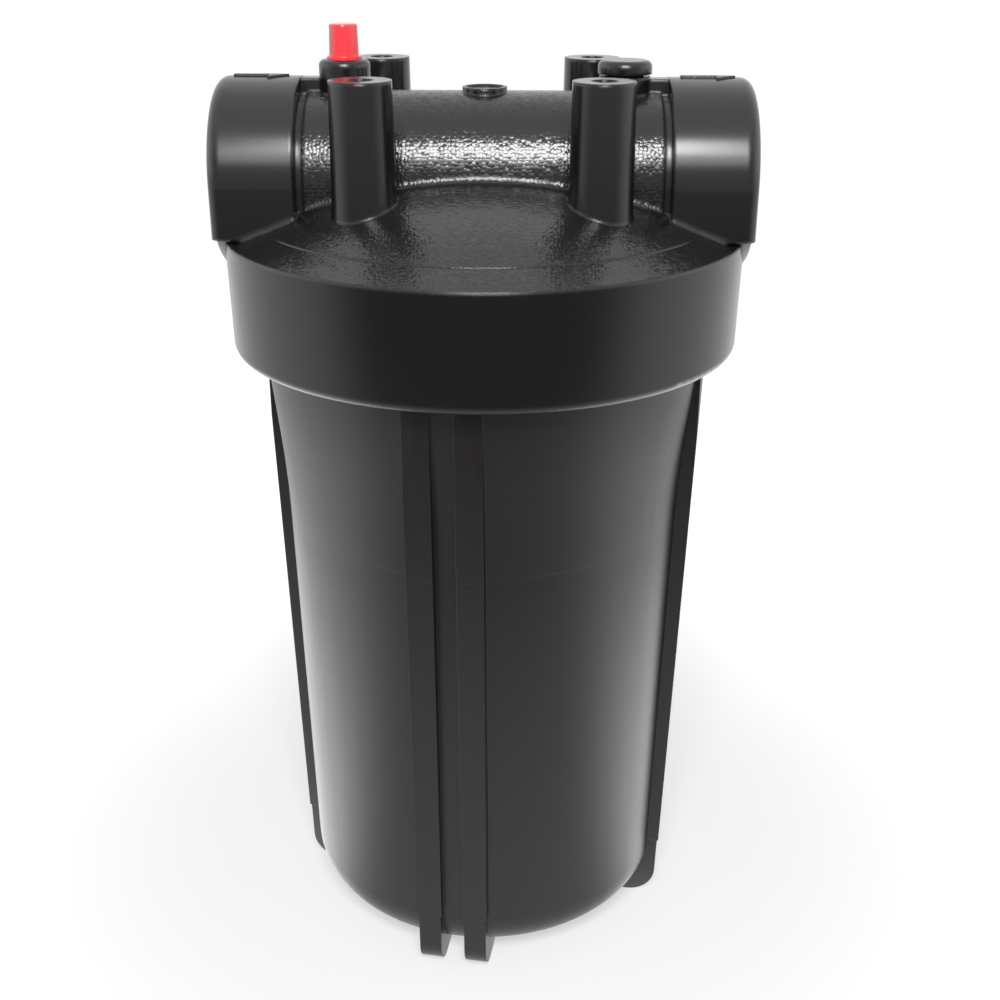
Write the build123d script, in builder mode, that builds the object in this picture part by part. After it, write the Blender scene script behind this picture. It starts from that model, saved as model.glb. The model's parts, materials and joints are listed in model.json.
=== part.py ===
from build123d import *
import math
import os

# Cartridge canister filter, millimetres.  Z is up, the ports lie along X with the inlet at -X,
# the front is -Y.  The origin is the middle of the footprint, at the height of the eight rib feet.

# ---- sump (bowl) ----
SUMP_WALL = 4.5
SUMP_FOOT_RADIUS = 70.6            # outer radius of the bowl at the bottom, before the corner is rounded
SUMP_KINK_RADIUS = 75.2            # outer radius where the flare starts
SUMP_KINK_Z = 186.0
SUMP_KINK_BEND = 400.0             # the wall bends into the flare on this radius
SUMP_CORNER = 18.0                 # rounding between wall and domed bottom
DOME_BOTTOM_Z = 3.0                # lowest point of the domed bottom
DOME_RISE = 3.0                    # how far the bottom rises from its middle to its edge
NECK_RADIUS = 81.0                 # thread root of the neck
NECK_BORE = 72.0
NECK_BOTTOM_Z = 239.0
RIM_Z = 264.0
PARTING_Z = 26.0
PARTING_STEP = 0.5

# ---- sump ribs ----
RIB_PAIRS = 4
RIB_PAIR_ANGLE = -9.0              # the pairs are turned this far from the axes
RIB_THICKNESS = 9.4
RIB_PITCH = 17.4                   # middle to middle within a pair
RIB_FOOT_RADIUS = 74.4             # outer face at the parting line
RIB_TOP_RADIUS = 81.0              # outer face at the neck
RIB_CORNER = 11.0
RIB_INNER_RADIUS = 40.0            # where the foot ends under the bowl

# ---- main seal ----
MAIN_RING_WIDTH = 4.7
MAIN_RING_RADIUS = 76.4            # middle of the ring
MAIN_GROOVE_DEPTH = 4.0
RING_CLEARANCE = 0.15

# ---- head (cap) ----
RIM_GAP = 0.6                      # between the rim and the head, closed by the main ring
SKIRT_BOTTOM_Z = 234.5
SKIRT_TOP_Z = 274.0
SKIRT_TOP_RADIUS = 91.8
SKIRT_BOTTOM_RADIUS = 90.9
SKIRT_BORE = 83.5                  # thread root of the head
SKIRT_EDGE = 3.0
CHAMFER_Z = 278.8
CHAMFER_RADIUS = 80.0
DOME_TOP_Z = 297.5
DOME_WALL = 5.0
CHAMBER_RADIUS = 71.5

# ---- ports and passages ----
PORT_SPAN = 184.0
PORT_AXIS_Z = 293.3
PORT_BORE = 24.0                   # thread root of the 1 1/2 inch pipe thread
PORT_DEPTH = 19.0                  # ends short of the chamber, so that a wall stays between them
PASSAGE_RADIUS = 18.5
PASSAGE_WALL = 3.8
COLLAR_RADIUS = 32.8
COLLAR_LENGTH = 29.0
COLLAR_EDGE = 4.5
COLLAR_FLOOR_Z = 276.0             # how far the upright sides of the collars reach down
COLLAR_FOOT = 2.0                  # rounding between a collar and the dome
TUBE_RADIUS = 28.2
TUBE_FOOT = 2.5                    # rounding between the tube and the dome
TUBE_GROOVE_WIDTH = 2.6
TUBE_GROOVE_DEPTH = 1.0
INLET_END_X = 26.0                 # where the inlet passage ends, from the middle
INLET_WINDOW_LENGTH = 30.0
INLET_WINDOW_WIDTH = 26.0
OUTLET_END_X = 13.0                # how far the outlet passage passes the middle

# ---- nozzle on the cartridge ----
SPIGOT_RADIUS = 13.7
SPIGOT_BORE = 11.0
SPIGOT_LENGTH = 9.0                # below the cartridge's top
NOZZLE_RADIUS = 22.4
KNIFE_RADIUS = 19.2
KNIFE_HEIGHT = 2.6
KNIFE_BASE = 2.0                   # half width at the root
KNIFE_LAND = 0.25                  # half width of the edge

# ---- mounting bosses on the head ----
MOUNT_SPACING_X = 77.5
MOUNT_SPACING_Y = 77.5
MOUNT_TOP_Z = 329.0
MOUNT_RADIUS = 10.2
MOUNT_DRAFT = 0.8                  # degrees
MOUNT_BASE_Z = 279.0
MOUNT_HOLE = 4.2
MOUNT_HOLE_DEPTH = 24.0

# ---- relief boss and plug boss ----
BOSS_X = 48.0
BOSS_TOP_Z = 331.8
BOSS_RADIUS = 8.8
BOSS_EDGE = 2.2
BOSS_FLOOR_Z = 316.5
SEAT_Z = 313.3                     # flat seat of the relief ring, in the roof of the passage
SEAT_RADIUS = 6.0
STEM_HOLE = 2.3
PLUG_HEAD_RADIUS = 9.3
PLUG_HEAD_HEIGHT = 5.2
PLUG_SLIT = 0.8

# ---- webs ----
WEB_THICKNESS = 7.0
WEB_TOP_Z = 325.8
BOSS_WEB_TOP_Z = 303.0             # short webs that tie the mounting bosses to the tube
DISH_RADIUS = 7.7
DISH_HEIGHT = 1.4
DISH_LIP = 1.2

# ---- relief button, spring, seal ----
BUTTON_RADIUS = 5.1
BUTTON_TOP_RADIUS = 4.8
BUTTON_TOP_Z = 343.2
BUTTON_EDGE = 0.7
BUTTON_CAVITY = 4.4
BUTTON_FLANGE = 5.8                # ring that sinks into the mouth of the bore
BUTTON_FLANGE_HEIGHT = 1.4
BUTTON_FLANGE_SUNK = 0.4           # how far it stands in the mouth at rest
BUTTON_TRAVEL = 3.0
STEM_RADIUS = 1.7
SPRING_WIRE = 0.7
SPRING_RADIUS = 3.6
SPRING_LENGTH = 12.0
SPRING_TURNS = 5
RELIEF_RING_SECTION = 1.8
WASHER_RADIUS = 4.6
WASHER_THICKNESS = 0.8
SCREW_HEAD_RADIUS = 2.9
SCREW_HEAD_HEIGHT = 1.8
SCREW_RADIUS = 1.1
SCREW_LENGTH = 7.0
SLOT_WIDTH = 0.8
SLOT_DEPTH = 0.8

# ---- cartridge ----
CARTRIDGE_RADIUS = 57.15
CARTRIDGE_LENGTH = 247.65
CARTRIDGE_BOTTOM_Z = 16.0
GASKET_THICKNESS = 3.2
GASKET_OUTER = 24.0
GASKET_INNER = 14.5
GASKET_PROUD = 1.2                 # how far a gasket stands out of its end cap
CAP_HEIGHT = 9.0
CAP_RIM = 1.8
CAP_FLOOR = 3.4
CORE_OUTER = 18.0
CORE_INNER = 15.5
CORE_ROWS = 14
CORE_HOLES = 8
CORE_HOLE_HEIGHT = 9.0
CORE_HOLE_WIDTH = 7.0
PLEATS = 48
PLEAT_THICKNESS = 0.7
PLEAT_OUTER = 54.6
PLEAT_INNER = 19.4
PLEAT_FOLD = 1.3                   # width of the blunt fold
FIT = 0.3

os.makedirs("parts", exist_ok=True)

# ---- levels and places worked out from the sizes above ----
ceiling_z = RIM_Z + RIM_GAP
port_x = PORT_SPAN / 2
collar_inner_x = port_x - COLLAR_LENGTH
cartridge_top_z = CARTRIDGE_BOTTOM_Z + CARTRIDGE_LENGTH
plug_boss_top_z = BOSS_TOP_Z - PLUG_HEAD_HEIGHT
boss_bore = BUTTON_RADIUS + FIT
flange_z = BOSS_TOP_Z - BUTTON_FLANGE_SUNK
plug_bottom_z = PORT_AXIS_Z + PASSAGE_RADIUS + FIT
middle = Locations((0, 0))
relief_place = Locations((-BOSS_X, 0))
plug_place = Locations((BOSS_X, 0))
mount_places = GridLocations(MOUNT_SPACING_X, MOUNT_SPACING_Y, 2, 2)


def save(piece, name):
    """Label a finished piece and write it under its own name."""
    piece.part.label = name
    export_step(piece.part, f"parts/{name}.step")


def ring(outer, inner, start_z, height, mode=Mode.ADD, places=middle):
    """Add or cut a round upright piece at each place; an inner radius of 0 makes it solid."""
    with BuildSketch(Plane.XY.offset(start_z)) as section:
        with places:
            Circle(outer)
            if inner:
                Circle(inner, mode=Mode.SUBTRACT)
    extrude(section.sketch, amount=height, mode=mode)


# ---------------------------------------------------------------- sump
def sump_profile(inset, neck_radius, top_z):
    """Half section of the bowl, drawn inset from its outer skin."""
    foot = (SUMP_FOOT_RADIUS - inset, DOME_BOTTOM_Z + DOME_RISE + inset)
    kink = (SUMP_KINK_RADIUS - inset, SUMP_KINK_Z)
    bottom = (0, DOME_BOTTOM_Z + inset)
    neck = ((neck_radius, NECK_BOTTOM_Z), (neck_radius, top_z))
    Polyline(bottom, foot, kink, *neck, (0, top_z), bottom)


def rib_profile(step, low, high):
    """Side view of one rib: its drafted outer face, its rounded toe and its foot under the bowl."""
    slope = (RIB_TOP_RADIUS - RIB_FOOT_RADIUS) / (NECK_BOTTOM_Z - PARTING_Z)

    def outer(z):
        return RIB_FOOT_RADIUS - step + slope * (z - PARTING_Z)

    inner = RIB_INNER_RADIUS
    Polyline((inner, low), (outer(low), low), (outer(high), high), (inner, high), (inner, low))


def rib_planes():
    """One upright plane through the middle of each rib, its own X pointing out of the bowl."""
    for pair in range(RIB_PAIRS):
        angle = RIB_PAIR_ANGLE + 360 / RIB_PAIRS * pair
        out = Vector(1, 0, 0).rotate(Axis.Z, angle)
        side = Vector(0, 1, 0).rotate(Axis.Z, angle)
        for sign in (-1, 1):
            yield Plane(origin=side * (sign * RIB_PITCH / 2), x_dir=out, z_dir=side * -1)


with BuildPart() as sump:
    for plane in rib_planes():
        with BuildSketch(plane):
            with BuildLine():
                rib_profile(PARTING_STEP, 0, PARTING_Z)
            make_face()
            toe = vertices().group_by(Axis.Y)[0].sort_by(Axis.X)[-1]
            fillet(toe, RIB_CORNER)
        extrude(amount=RIB_THICKNESS / 2 - PARTING_STEP, both=True)
        with BuildSketch(plane):
            with BuildLine():
                rib_profile(0, PARTING_Z, NECK_BOTTOM_Z)
            make_face()
        extrude(amount=RIB_THICKNESS / 2, both=True)
    with BuildSketch(Plane.XZ):
        with BuildLine():
            sump_profile(0, NECK_RADIUS, RIM_Z)
        make_face()
        fillet(vertices().sort_by(Axis.Y)[2], SUMP_KINK_BEND)
        fillet(vertices().sort_by(Axis.Y)[1], SUMP_CORNER)
    revolve(axis=Axis.Z)
    # Nothing of the ribs stands out beyond the neck's thread root.
    with BuildSketch(Plane.XY):
        Circle(NECK_RADIUS + RIB_PITCH)
        Circle(NECK_RADIUS, mode=Mode.SUBTRACT)
    extrude(amount=RIM_Z, mode=Mode.SUBTRACT)
    with BuildSketch(Plane.XZ):
        with BuildLine():
            sump_profile(SUMP_WALL, NECK_BORE, RIM_Z)
        make_face()
        fillet(vertices().sort_by(Axis.Y)[2], SUMP_KINK_BEND + SUMP_WALL)
        fillet(vertices().sort_by(Axis.Y)[1], SUMP_CORNER - SUMP_WALL)
    revolve(axis=Axis.Z, mode=Mode.SUBTRACT)
    # Groove of the main ring.
    half_groove = MAIN_RING_WIDTH / 2 + RING_CLEARANCE
    ring(
        MAIN_RING_RADIUS + half_groove, MAIN_RING_RADIUS - half_groove,
        RIM_Z, -MAIN_GROOVE_DEPTH, Mode.SUBTRACT,
    )
    # Seat and spigot of the cartridge.
    seat_root_z = DOME_BOTTOM_Z + SUMP_WALL / 2
    ring(KNIFE_RADIUS + KNIFE_BASE, KNIFE_RADIUS - KNIFE_BASE, seat_root_z, CARTRIDGE_BOTTOM_Z - seat_root_z)
    ring(SPIGOT_RADIUS, SPIGOT_BORE, seat_root_z, CARTRIDGE_BOTTOM_Z - seat_root_z + SPIGOT_LENGTH)
save(sump, "sump")

# ---------------------------------------------------------------- main ring, squeezed in its groove
with BuildPart() as main_oring:
    with BuildSketch(Plane.XZ):
        with Locations((MAIN_RING_RADIUS, ceiling_z - (MAIN_GROOVE_DEPTH + RIM_GAP) / 2)):
            SlotOverall(MAIN_RING_WIDTH, MAIN_GROOVE_DEPTH + RIM_GAP)
    revolve(axis=Axis.Z)
save(main_oring, "main_oring")


# ---------------------------------------------------------------- head
pipe_plane = Plane(origin=(0, 0, PORT_AXIS_Z), x_dir=(1, 0, 0), z_dir=(0, -1, 0))
pipe_axis = Axis((0, 0, PORT_AXIS_Z), (1, 0, 0))
dome_rise = DOME_TOP_Z - CHAMFER_Z
dome_radius = (CHAMFER_RADIUS ** 2 + dome_rise ** 2) / (2 * dome_rise)


def dome_z(radius, inset=0):
    """Height of the dome, or of its inner face, over a point at this radius."""
    return DOME_TOP_Z - dome_radius + math.sqrt((dome_radius - inset) ** 2 - radius ** 2)


def dome_arc(edge_radius, inset):
    """Arc of the dome from its edge to its middle."""
    points = [(r, dome_z(r, inset)) for r in (edge_radius, edge_radius / 2, 0)]
    return ThreePointArc(*points)


def cross_pipe(radius, start_x, end_x, mode):
    """Add or cut a cylinder along the ports' axis."""
    with BuildSketch(pipe_plane) as section:
        with BuildLine():
            Polyline((start_x, 0), (start_x, radius), (end_x, radius), (end_x, 0), (start_x, 0))
        make_face()
    revolve(section.sketch, axis=pipe_axis, mode=mode)


# Half outline of the cross tube, its two grooves and the port collars.
with BuildSketch() as pipe_outline:
    with BuildLine():
        groove_x = collar_inner_x - TUBE_GROOVE_WIDTH
        groove_radius = TUBE_RADIUS - TUBE_GROOVE_DEPTH
        right = [
            (groove_x, TUBE_RADIUS), (groove_x, groove_radius), (collar_inner_x, groove_radius),
            (collar_inner_x, COLLAR_RADIUS), (port_x, COLLAR_RADIUS), (port_x, 0),
        ]
        left = [(-x, radius) for x, radius in reversed(right)]
        Polyline(*left, *right, left[0])
    make_face()
    fillet(vertices().group_by(Axis.Y)[-1].group_by(Axis.X)[0], COLLAR_EDGE)
    fillet(vertices().group_by(Axis.Y)[-1].group_by(Axis.X)[-1], COLLAR_EDGE)

with BuildPart() as head_cap:
    # Skirt, chamfer band and dome.
    with BuildSketch(Plane.XZ):
        with BuildLine():
            Polyline((0, DOME_TOP_Z), (0, SKIRT_BOTTOM_Z), (SKIRT_BOTTOM_RADIUS, SKIRT_BOTTOM_Z))
            Polyline(
                (SKIRT_BOTTOM_RADIUS, SKIRT_BOTTOM_Z), (SKIRT_TOP_RADIUS, SKIRT_TOP_Z),
                (CHAMFER_RADIUS, CHAMFER_Z),
            )
            dome_arc(CHAMFER_RADIUS, 0)
        make_face()
        fillet(vertices().group_by(Axis.Y)[0].sort_by(Axis.X)[-1], SKIRT_EDGE)
    revolve(axis=Axis.Z)
    # Cross tube and collars: round above the ports' axis, upright below it.
    with BuildSketch(pipe_plane):
        add(pipe_outline.sketch)
    revolve(axis=pipe_axis)
    with BuildSketch(Plane.XY.offset(PORT_AXIS_Z)):
        add(pipe_outline.sketch)
        mirror(about=Plane.XZ)
    extrude(amount=COLLAR_FLOOR_Z - PORT_AXIS_Z)
    # Rounded feet where the tube and the collars stand on the dome.
    for reach, foot_radius in ((TUBE_RADIUS, TUBE_FOOT), (COLLAR_RADIUS, COLLAR_FOOT)):
        curved = edges().filter_by(GeomType.LINE, reverse=True)
        fillet(curved.filter_by(lambda edge: abs(abs(edge.center().Y) - reach) < FIT), foot_radius)
    # Mounting bosses.
    with BuildSketch(Plane.XY.offset(MOUNT_TOP_Z)):
        with mount_places:
            Circle(MOUNT_RADIUS)
    extrude(amount=MOUNT_BASE_Z - MOUNT_TOP_Z, taper=-MOUNT_DRAFT)
    # Relief boss, plug boss and the webs that tie them to the collars.
    ring(BOSS_RADIUS, 0, PORT_AXIS_Z, BOSS_TOP_Z - PORT_AXIS_Z, places=relief_place)
    fillet(edges().filter_by(GeomType.CIRCLE).group_by(Axis.Z)[-1], BOSS_EDGE)
    ring(BOSS_RADIUS, 0, PORT_AXIS_Z, plug_boss_top_z - PORT_AXIS_Z, places=plug_place)
    for sign in (-1, 1):
        with BuildSketch(Plane.XY.offset(PORT_AXIS_Z)):
            with Locations((sign * (BOSS_X + collar_inner_x) / 2, 0)):
                Rectangle(collar_inner_x - BOSS_X + WEB_THICKNESS, WEB_THICKNESS)
        extrude(amount=WEB_TOP_Z - PORT_AXIS_Z)
    for side_x in (-MOUNT_SPACING_X / 2, MOUNT_SPACING_X / 2):
        with BuildSketch(Plane.XY.offset(MOUNT_BASE_Z)):
            with Locations((side_x, 0)):
                Rectangle(WEB_THICKNESS, MOUNT_SPACING_Y)
        extrude(amount=BOSS_WEB_TOP_Z - MOUNT_BASE_Z)
    # Dished disc on the middle of the tube.
    ring(DISH_RADIUS, 0, PORT_AXIS_Z, TUBE_RADIUS + DISH_HEIGHT)
    ring(DISH_RADIUS - DISH_LIP, 0, PORT_AXIS_Z + TUBE_RADIUS + DISH_HEIGHT, -DISH_HEIGHT / 2, Mode.SUBTRACT)
    # Chamber above the cartridge, ceiling over the rim and bore of the skirt.
    with BuildSketch(Plane.XZ):
        with BuildLine():
            Polyline((0, dome_z(0, DOME_WALL)), (0, SKIRT_BOTTOM_Z), (SKIRT_BORE, SKIRT_BOTTOM_Z))
            Polyline((SKIRT_BORE, SKIRT_BOTTOM_Z), (SKIRT_BORE, ceiling_z), (CHAMBER_RADIUS, ceiling_z))
            Line((CHAMBER_RADIUS, ceiling_z), (CHAMBER_RADIUS, dome_z(CHAMBER_RADIUS, DOME_WALL)))
            dome_arc(CHAMBER_RADIUS, DOME_WALL)
        make_face()
    revolve(axis=Axis.Z, mode=Mode.SUBTRACT)
    # Walls of the passages, the nozzle, its knife edge and the spigot.
    cross_pipe(PASSAGE_RADIUS + PASSAGE_WALL, -CHAMBER_RADIUS, CHAMBER_RADIUS, Mode.ADD)
    with BuildSketch(Plane.XZ):
        with BuildLine():
            knife_root_z = cartridge_top_z + KNIFE_HEIGHT
            Polyline(
                (0, PORT_AXIS_Z), (NOZZLE_RADIUS, PORT_AXIS_Z), (NOZZLE_RADIUS, knife_root_z),
                (KNIFE_RADIUS + KNIFE_BASE, knife_root_z), (KNIFE_RADIUS + KNIFE_LAND, cartridge_top_z),
                (KNIFE_RADIUS - KNIFE_LAND, cartridge_top_z), (KNIFE_RADIUS - KNIFE_BASE, knife_root_z),
                (SPIGOT_RADIUS, knife_root_z), (SPIGOT_RADIUS, cartridge_top_z - SPIGOT_LENGTH),
                (0, cartridge_top_z - SPIGOT_LENGTH), (0, PORT_AXIS_Z),
            )
        make_face()
    revolve(axis=Axis.Z)
    # Port bores, passages, the window of the inlet and the bore of the nozzle.
    for sign in (-1, 1):
        cross_pipe(PORT_BORE, *sorted((sign * port_x, sign * (port_x - PORT_DEPTH))), Mode.SUBTRACT)
    cross_pipe(PASSAGE_RADIUS, -port_x, -INLET_END_X, Mode.SUBTRACT)
    cross_pipe(PASSAGE_RADIUS, -OUTLET_END_X, port_x, Mode.SUBTRACT)
    with BuildSketch(Plane.XY.offset(PORT_AXIS_Z)):
        with Locations((-INLET_END_X - INLET_WINDOW_LENGTH / 2, 0)):
            Rectangle(INLET_WINDOW_LENGTH, INLET_WINDOW_WIDTH)
    extrude(amount=cartridge_top_z - PORT_AXIS_Z, mode=Mode.SUBTRACT)
    ring(SPIGOT_BORE, 0, PORT_AXIS_Z, cartridge_top_z - SPIGOT_LENGTH - PORT_AXIS_Z, Mode.SUBTRACT)
    # Screw holes of the mounting bosses.
    ring(MOUNT_HOLE, 0, MOUNT_TOP_Z, -MOUNT_HOLE_DEPTH, Mode.SUBTRACT, mount_places)
    # Bore, stem hole and seat of the relief valve, and the bore of the plug.
    mouth_floor_z = flange_z - BUTTON_TRAVEL - FIT
    ring(boss_bore, 0, BOSS_FLOOR_Z, BOSS_TOP_Z - BOSS_FLOOR_Z, Mode.SUBTRACT, relief_place)
    ring(BUTTON_FLANGE + FIT, 0, mouth_floor_z, BOSS_TOP_Z - mouth_floor_z, Mode.SUBTRACT, relief_place)
    ring(STEM_HOLE, 0, PORT_AXIS_Z, BOSS_FLOOR_Z - PORT_AXIS_Z, Mode.SUBTRACT, relief_place)
    ring(SEAT_RADIUS, 0, PORT_AXIS_Z, SEAT_Z - PORT_AXIS_Z, Mode.SUBTRACT, relief_place)
    ring(boss_bore, 0, PORT_AXIS_Z, plug_boss_top_z - PORT_AXIS_Z, Mode.SUBTRACT, plug_place)
save(head_cap, "head_cap")

# ---------------------------------------------------------------- blanking plug over the outlet
with BuildPart() as outlet_plug:
    with BuildSketch(Plane.XZ):
        with BuildLine():
            Polyline(
                (0, plug_bottom_z), (BUTTON_RADIUS, plug_bottom_z),
                (BUTTON_RADIUS, plug_boss_top_z + PLUG_SLIT),
                (PLUG_HEAD_RADIUS, plug_boss_top_z + PLUG_SLIT), (PLUG_HEAD_RADIUS, BOSS_TOP_Z),
                (0, BOSS_TOP_Z), (0, plug_bottom_z),
            )
        make_face()
        fillet(vertices().group_by(Axis.Y)[-1].sort_by(Axis.X)[-1], BOSS_EDGE)
    revolve(axis=Axis.Z)
outlet_plug.part.position = (BOSS_X, 0, 0)
save(outlet_plug, "outlet_plug")

with BuildPart() as plug_oring:
    with BuildSketch(Plane.XZ):
        with Locations((boss_bore + PLUG_SLIT * 0.75, plug_boss_top_z + PLUG_SLIT / 2)):
            SlotOverall(PLUG_SLIT * 1.5, PLUG_SLIT)
    revolve(axis=Axis.Z)
plug_oring.part.position = (BOSS_X, 0, 0)
save(plug_oring, "plug_oring")

# ---------------------------------------------------------------- relief valve
stem_bottom_z = SEAT_Z - RELIEF_RING_SECTION
cavity_roof_z = BOSS_FLOOR_Z + SPRING_LENGTH
skirt_end_z = BOSS_FLOOR_Z + BUTTON_TRAVEL + FIT
flange_top_z = flange_z + BUTTON_FLANGE_HEIGHT

with BuildPart() as relief_button:
    with BuildSketch(Plane.XZ):
        with BuildLine():
            Polyline(
                (0, stem_bottom_z), (STEM_RADIUS, stem_bottom_z), (STEM_RADIUS, cavity_roof_z),
                (BUTTON_CAVITY, cavity_roof_z), (BUTTON_CAVITY, skirt_end_z), (BUTTON_RADIUS, skirt_end_z),
                (BUTTON_RADIUS, flange_z), (BUTTON_FLANGE, flange_z), (BUTTON_FLANGE, flange_top_z),
                (BUTTON_RADIUS, flange_top_z), (BUTTON_TOP_RADIUS, BUTTON_TOP_Z), (0, BUTTON_TOP_Z),
                (0, stem_bottom_z),
            )
        make_face()
        fillet(vertices().group_by(Axis.Y)[-1].sort_by(Axis.X)[-1], BUTTON_EDGE)
    revolve(axis=Axis.Z)
    ring(SCREW_RADIUS, 0, stem_bottom_z, SCREW_LENGTH, Mode.SUBTRACT)
relief_button.part.position = (-BOSS_X, 0, 0)
save(relief_button, "relief_button")

coil_height = SPRING_LENGTH - SPRING_WIRE
with BuildPart() as relief_spring:
    with BuildLine() as coil:
        Helix(
            pitch=coil_height / SPRING_TURNS, height=coil_height,
            radius=SPRING_RADIUS, center=(0, 0, BOSS_FLOOR_Z + SPRING_WIRE / 2),
        )
    with BuildSketch(Plane(origin=coil.line @ 0, z_dir=coil.line % 0)):
        RegularPolygon(SPRING_WIRE / 2, 8)
    sweep(is_frenet=True)
relief_spring.part.position = (-BOSS_X, 0, 0)
save(relief_spring, "relief_spring")

with BuildPart() as relief_oring:
    with BuildSketch(Plane.XZ):
        with Locations((STEM_RADIUS + FIT / 3 + RELIEF_RING_SECTION / 2, SEAT_Z - RELIEF_RING_SECTION / 2)):
            SlotOverall(RELIEF_RING_SECTION * 1.05, RELIEF_RING_SECTION)
    revolve(axis=Axis.Z)
relief_oring.part.position = (-BOSS_X, 0, 0)
save(relief_oring, "relief_oring")

with BuildPart() as relief_washer:
    ring(WASHER_RADIUS, SCREW_RADIUS + FIT / 3, stem_bottom_z, -WASHER_THICKNESS)
relief_washer.part.position = (-BOSS_X, 0, 0)
save(relief_washer, "relief_washer")

with BuildPart() as relief_screw:
    ring(SCREW_HEAD_RADIUS, 0, stem_bottom_z - WASHER_THICKNESS, -SCREW_HEAD_HEIGHT)
    fillet(edges().group_by(Axis.Z)[0], SCREW_HEAD_HEIGHT / 3)
    ring(SCREW_RADIUS, 0, stem_bottom_z - WASHER_THICKNESS, WASHER_THICKNESS + SCREW_LENGTH)
    with BuildSketch(Plane.XY.offset(stem_bottom_z - WASHER_THICKNESS - SCREW_HEAD_HEIGHT)):
        Rectangle(SCREW_HEAD_RADIUS * 1.3, SLOT_WIDTH)
        Rectangle(SLOT_WIDTH, SCREW_HEAD_RADIUS * 1.3)
    extrude(amount=SLOT_DEPTH, mode=Mode.SUBTRACT)
relief_screw.part.position = (-BOSS_X, 0, 0)
save(relief_screw, "relief_screw")

# ---------------------------------------------------------------- cartridge
gasket_seat = GASKET_THICKNESS - GASKET_PROUD      # depth of the gasket's seat in its cap
media_bottom_z = CARTRIDGE_BOTTOM_Z + GASKET_PROUD + gasket_seat + CAP_FLOOR
media_top_z = cartridge_top_z - GASKET_PROUD - gasket_seat - CAP_FLOOR


def end_cap(face_z, inward):
    """Moulded end cap with its outer face at face_z; inward is +1 for the lower cap, -1 for the upper."""
    ring(CARTRIDGE_RADIUS, 0, face_z, inward * CAP_HEIGHT)
    fillet(edges().group_by(Axis.Z)[0 if inward > 0 else -1], CAP_RIM / 2)
    floor_z = face_z + inward * (gasket_seat + CAP_FLOOR)
    ring(CARTRIDGE_RADIUS - CAP_RIM, 0, floor_z, inward * CAP_HEIGHT, Mode.SUBTRACT)
    ring(GASKET_OUTER + FIT / 3, 0, face_z, inward * gasket_seat, Mode.SUBTRACT)
    ring(CORE_INNER, 0, face_z, inward * CAP_HEIGHT, Mode.SUBTRACT)


with BuildPart() as bottom_end_cap:
    end_cap(CARTRIDGE_BOTTOM_Z + GASKET_PROUD, 1)
save(bottom_end_cap, "bottom_end_cap")

with BuildPart() as top_end_cap:
    end_cap(cartridge_top_z - GASKET_PROUD, -1)
save(top_end_cap, "top_end_cap")

with BuildPart() as bottom_gasket:
    ring(GASKET_OUTER, GASKET_INNER, CARTRIDGE_BOTTOM_Z, GASKET_THICKNESS)
save(bottom_gasket, "bottom_gasket")

with BuildPart() as top_gasket:
    ring(GASKET_OUTER, GASKET_INNER, cartridge_top_z, -GASKET_THICKNESS)
save(top_gasket, "top_gasket")

with BuildPart() as cartridge_core:
    ring(CORE_OUTER, CORE_INNER, media_bottom_z, media_top_z - media_bottom_z)
    row_pitch = (media_top_z - media_bottom_z) / CORE_ROWS
    for row in range(CORE_ROWS):
        row_z = media_bottom_z + row_pitch * (row + 0.5)
        for turn in range(CORE_HOLES // 2):
            angle = 360 / CORE_HOLES * (turn + row % 2 / 2)
            out = Vector(1, 0, 0).rotate(Axis.Z, angle)
            with BuildSketch(Plane(origin=(0, 0, row_z), x_dir=(0, 0, 1), z_dir=out)):
                Rectangle(CORE_HOLE_HEIGHT, CORE_HOLE_WIDTH)
            extrude(amount=CORE_OUTER + 1, both=True, mode=Mode.SUBTRACT)
save(cartridge_core, "cartridge_core")


def pleat_points(outer, outer_width, inner, inner_width):
    """Corners of one face of the folded sheet: a blunt fold at the outside, then one at the core."""
    points = []
    for pleat in range(PLEATS):
        for radius, width, turn in ((outer, outer_width, 0), (inner, inner_width, 0.5)):
            middle = 2 * math.pi / PLEATS * (pleat + turn)
            for angle in (middle - width / radius / 2, middle + width / radius / 2):
                points.append((radius * math.cos(angle), radius * math.sin(angle)))
    return points


with BuildPart() as filter_media:
    wide_fold = PLEAT_FOLD + PLEAT_THICKNESS
    tight_fold = PLEAT_FOLD - PLEAT_THICKNESS
    with BuildSketch(Plane.XY.offset(media_bottom_z)):
        Polygon(*pleat_points(PLEAT_OUTER, wide_fold, PLEAT_INNER + PLEAT_THICKNESS, tight_fold), align=None)
        Polygon(
            *pleat_points(PLEAT_OUTER - PLEAT_THICKNESS, tight_fold, PLEAT_INNER, wide_fold),
            align=None, mode=Mode.SUBTRACT,
        )
    extrude(amount=media_top_z - media_bottom_z)
save(filter_media, "filter_media")
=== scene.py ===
import json
import math

import bmesh
import bpy
from bpy.props import FloatProperty, FloatVectorProperty, PointerProperty
from mathutils import Matrix, Vector


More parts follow.
